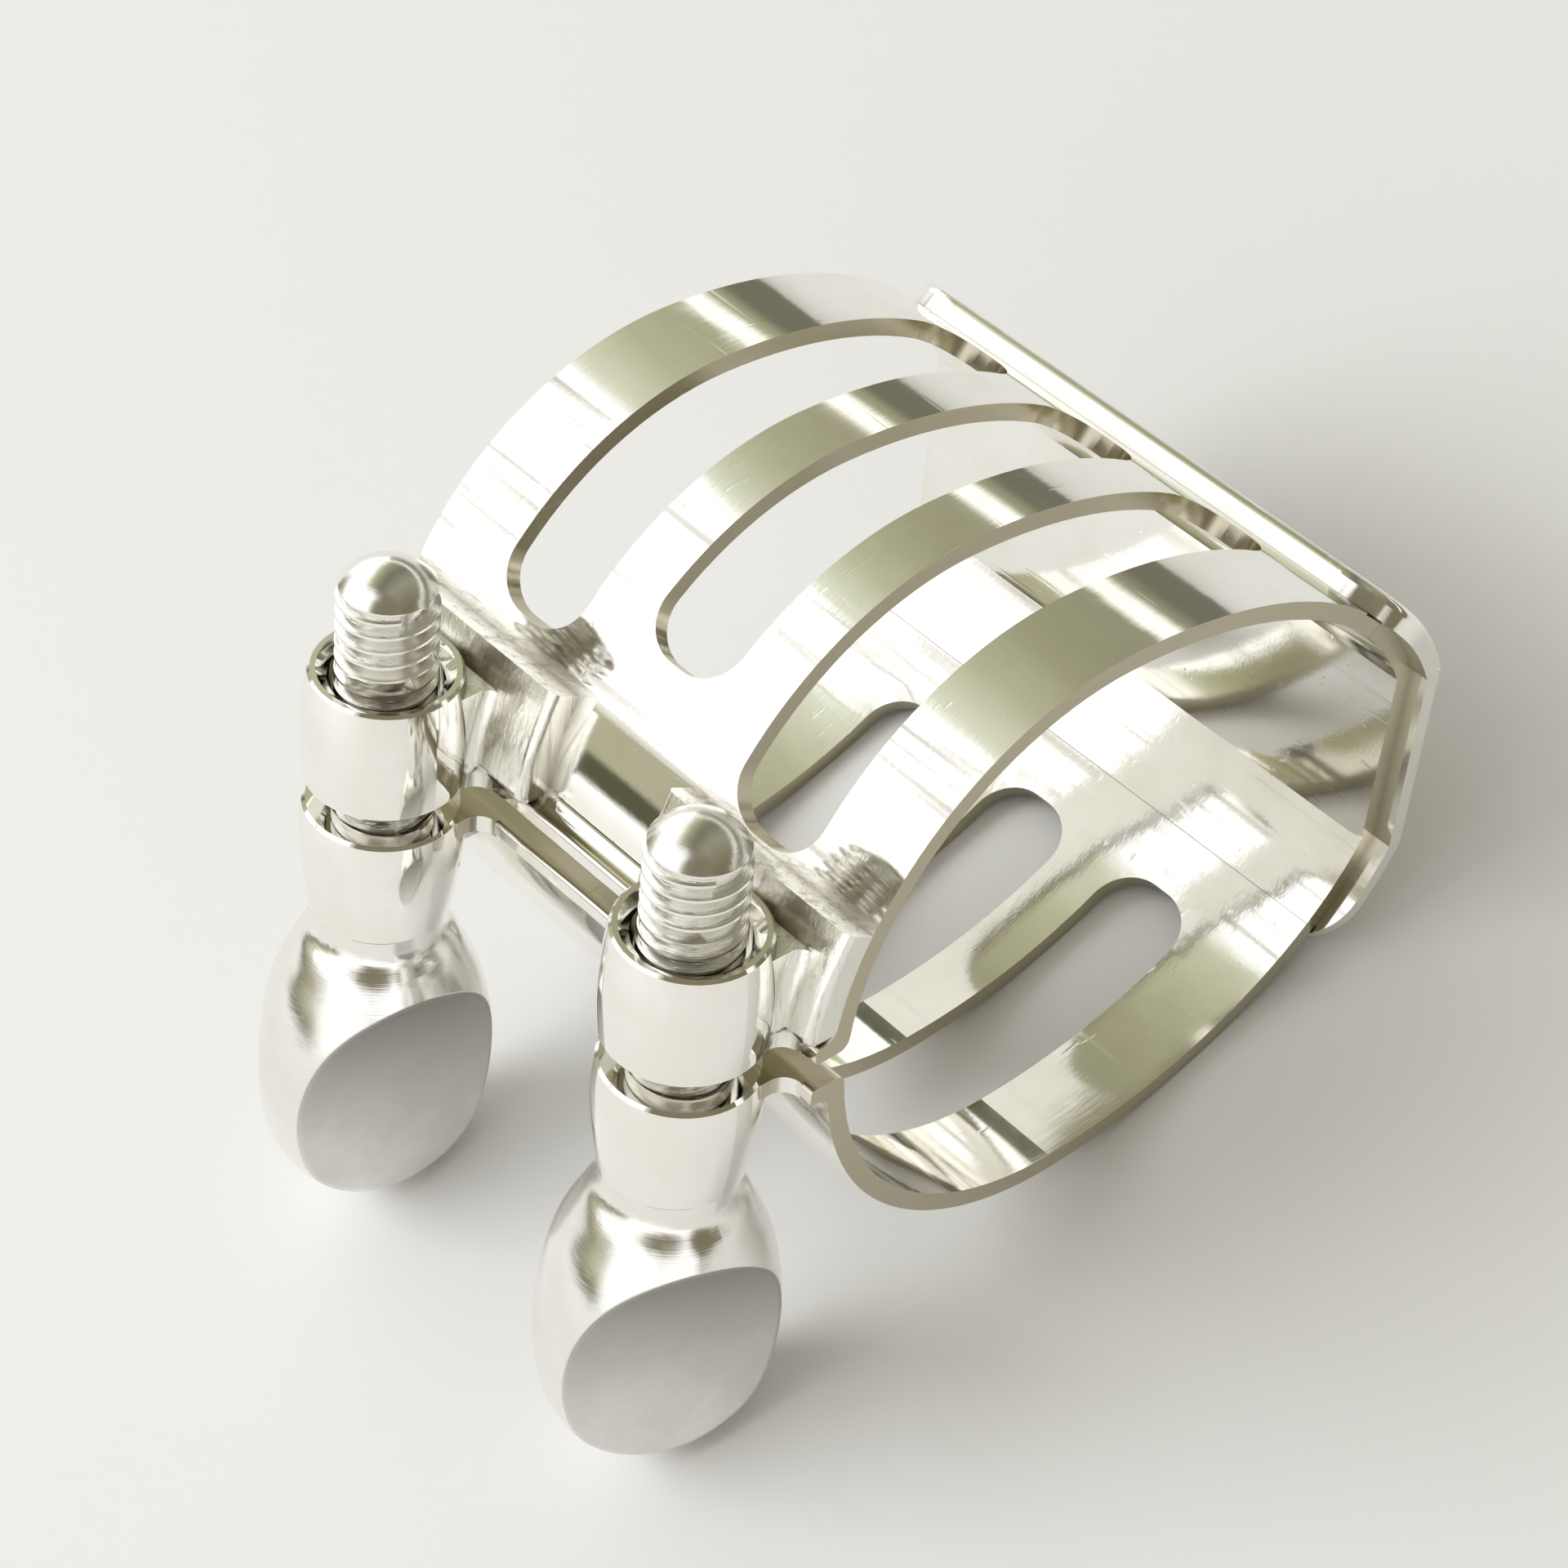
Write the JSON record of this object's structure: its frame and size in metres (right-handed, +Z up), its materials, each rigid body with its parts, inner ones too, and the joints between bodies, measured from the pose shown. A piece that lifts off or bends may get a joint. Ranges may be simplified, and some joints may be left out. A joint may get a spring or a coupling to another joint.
{
  "type": "saxophone ligature",
  "caption": "Silver-plated saxophone ligature: slotted spring band in two jaws with a reed plate, drawn together round a mouthpiece by pear-headed thumbscrews in barrel posts",
  "frame": {"origin": "centre of the mouthpiece bore, on the bore axis, half way along the band", "axes": "+X along the bore from the tip side to the shank side; +Z up with the ligature lying on its thumb heads and band, reed side down and to the back; -Y the screw side"},
  "size_m": [0.0248, 0.0391, 0.0262],
  "materials": {
    "band_plate": "polished silver plate over bent and soldered brass sheet",
    "turned_plate": "turned and polished silver plate",
    "screw_plate": "silver plate, mirror-polished pear head with satin thumb faces"
  },
  "bodies": {
    "reed_side": {"reed_plate": "band_plate", "band_reed_panel": "band_plate"},
    "upper_jaw": {"band_upper_flank": "band_plate", "upper_barrel_front": "turned_plate", "upper_barrel_rear": "turned_plate", "upper_post_front": "band_plate", "upper_post_rear": "band_plate"},
    "lower_jaw": {"band_lower_flank": "band_plate", "lower_barrel_front": "turned_plate", "lower_barrel_rear": "turned_plate", "lower_post_front": "band_plate", "lower_post_rear": "band_plate"},
    "front_screw": {"thumbscrew_front": "screw_plate"},
    "rear_screw": {"thumbscrew_rear": "screw_plate"}
  },
  "joints": [
    {"name": "upper_flex", "type": "hinge", "parent": "reed_side", "child": "upper_jaw", "pos_m": [0, 0.01389, 0.00234], "axis": [1, 0, 0], "range_deg": [-1.05, 1.2]},
    {"name": "lower_flex", "type": "hinge", "parent": "reed_side", "child": "lower_jaw", "pos_m": [0, 0.00897, -0.01087], "axis": [1, 0, 0], "range_deg": [-1.2, 1.05]},
    {"name": "front_spin", "type": "hinge", "parent": "lower_jaw", "child": "front_screw", "pos_m": [-0.00785, -0.01365, 0.00509], "axis": [0, 0.3496, 0.9369], "range_deg": [-540, 630]},
    {"name": "rear_spin", "type": "hinge", "parent": "lower_jaw", "child": "rear_screw", "pos_m": [0.00785, -0.01365, 0.00509], "axis": [0, 0.3496, 0.9369], "range_deg": [-540, 630]}
  ],
  "couplings": [
    {"joint": "upper_flex", "follows": "front_spin", "ratio": 0.0017836},
    {"joint": "lower_flex", "follows": "front_spin", "ratio": -0.0017836},
    {"joint": "rear_spin", "follows": "front_spin", "ratio": 1}
  ]
}
